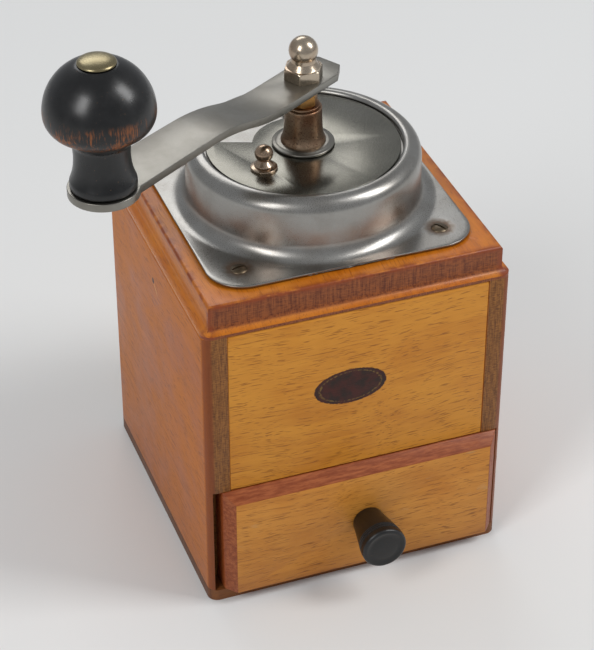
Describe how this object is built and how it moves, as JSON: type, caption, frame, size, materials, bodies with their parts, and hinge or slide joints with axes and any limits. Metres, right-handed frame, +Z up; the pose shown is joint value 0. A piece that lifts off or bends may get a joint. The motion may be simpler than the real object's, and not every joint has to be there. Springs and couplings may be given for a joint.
{
  "type": "coffee grinder",
  "caption": "Wooden box coffee mill with a pressed steel hopper dome, a swivelling lid, a top crank with a black turned knob, conical burrs and a drawer.",
  "frame": {"origin": "centre of the case's underside", "axes": "+X to the right along the front, +Y to the back, +Z up along the shaft"},
  "size_m": [0.1707, 0.143, 0.2428],
  "materials": {
    "case_wood": "orange shellac on beech, worn at the edges",
    "panel_wood": "yellow shellac on beech, fine grain",
    "top_wood": "red-brown shellac on beech",
    "base_wood": "brown stained beech",
    "drawer_wood": "worn amber shellac on beech",
    "inner_wood": "bare beech",
    "nickel_sheet": "dull nickel plate",
    "nickel_bar": "worn nickel plate",
    "pitted_steel": "nickel plate pitted with rust",
    "screw_steel": "dark aged steel",
    "burr_iron": "cut and hardened",
    "nut_brass": "tarnished",
    "knob_lacquer": "black lacquer on turned wood"
  },
  "bodies": {
    "case": {"base_board": "base_wood", "side_board_left": "case_wood", "side_board_right": "case_wood", "front_panel": "panel_wood", "back_panel": "case_wood", "top_board": "top_wood", "drawer_rail_left": "inner_wood", "drawer_rail_right": "inner_wood", "base_screws": "screw_steel", "hopper_cover": "nickel_sheet", "cover_screws": "screw_steel", "hopper_funnel": "nickel_sheet", "filler_plate": "nickel_sheet", "upper_bridge": "nickel_bar", "bridge_screws": "screw_steel", "bearing_sleeve": "pitted_steel", "bridge_nut": "nickel_bar", "lid_collar": "nickel_sheet", "outer_burr": "burr_iron", "burr_screws": "screw_steel", "lower_bridge": "nickel_bar", "lower_bridge_screws": "screw_steel", "bearing_bush": "nut_brass"},
    "lid": {"lid_disc": "nickel_sheet", "lid_knob": "nickel_bar"},
    "washer": {"thrust_washer": "pitted_steel"},
    "adjuster": {"adjusting_nut": "nut_brass"},
    "spindle": {"drive_shaft": "nickel_bar", "inner_burr": "burr_iron", "burr_pin": "nickel_bar", "crank_arm": "nickel_bar", "acorn_nut": "nickel_bar", "knob_spindle": "nickel_bar"},
    "handle": {"crank_knob": "knob_lacquer"},
    "drawer": {"drawer_front": "drawer_wood", "drawer_side_left": "inner_wood", "drawer_side_right": "inner_wood", "drawer_back": "inner_wood", "drawer_bottom": "inner_wood", "drawer_knob": "knob_lacquer", "drawer_knob_screw": "screw_steel"}
  },
  "joints": [
    {"name": "crank_turn", "type": "hinge", "parent": "case", "child": "washer", "pos_m": [0, 0, 0.176], "axis": [0, 0, 1], "continuous": true},
    {"name": "grind_gap", "type": "slide", "parent": "washer", "child": "spindle", "axis": [0, 0, 1], "range_m": [-0.001, 0.0005]},
    {"name": "adjuster_turn", "type": "hinge", "parent": "washer", "child": "adjuster", "pos_m": [0, 0, 0.178], "axis": [0, 0, 1], "range_deg": [-145, 289]},
    {"name": "knob_spin", "type": "hinge", "parent": "spindle", "child": "handle", "pos_m": [-0.09176, -0.05601, 0.2], "axis": [0, 0, 1], "continuous": true},
    {"name": "lid_swivel", "type": "hinge", "parent": "case", "child": "lid", "pos_m": [0, 0, 0.159], "axis": [0, 0, 1], "range_deg": [-88, 0]},
    {"name": "drawer_slide", "type": "slide", "parent": "case", "child": "drawer", "axis": [0, -1, 0], "range_m": [0, 0.085]}
  ],
  "couplings": [
    {"joint": "adjuster_turn", "follows": "grind_gap", "rad_per_m": -5026.5}
  ]
}
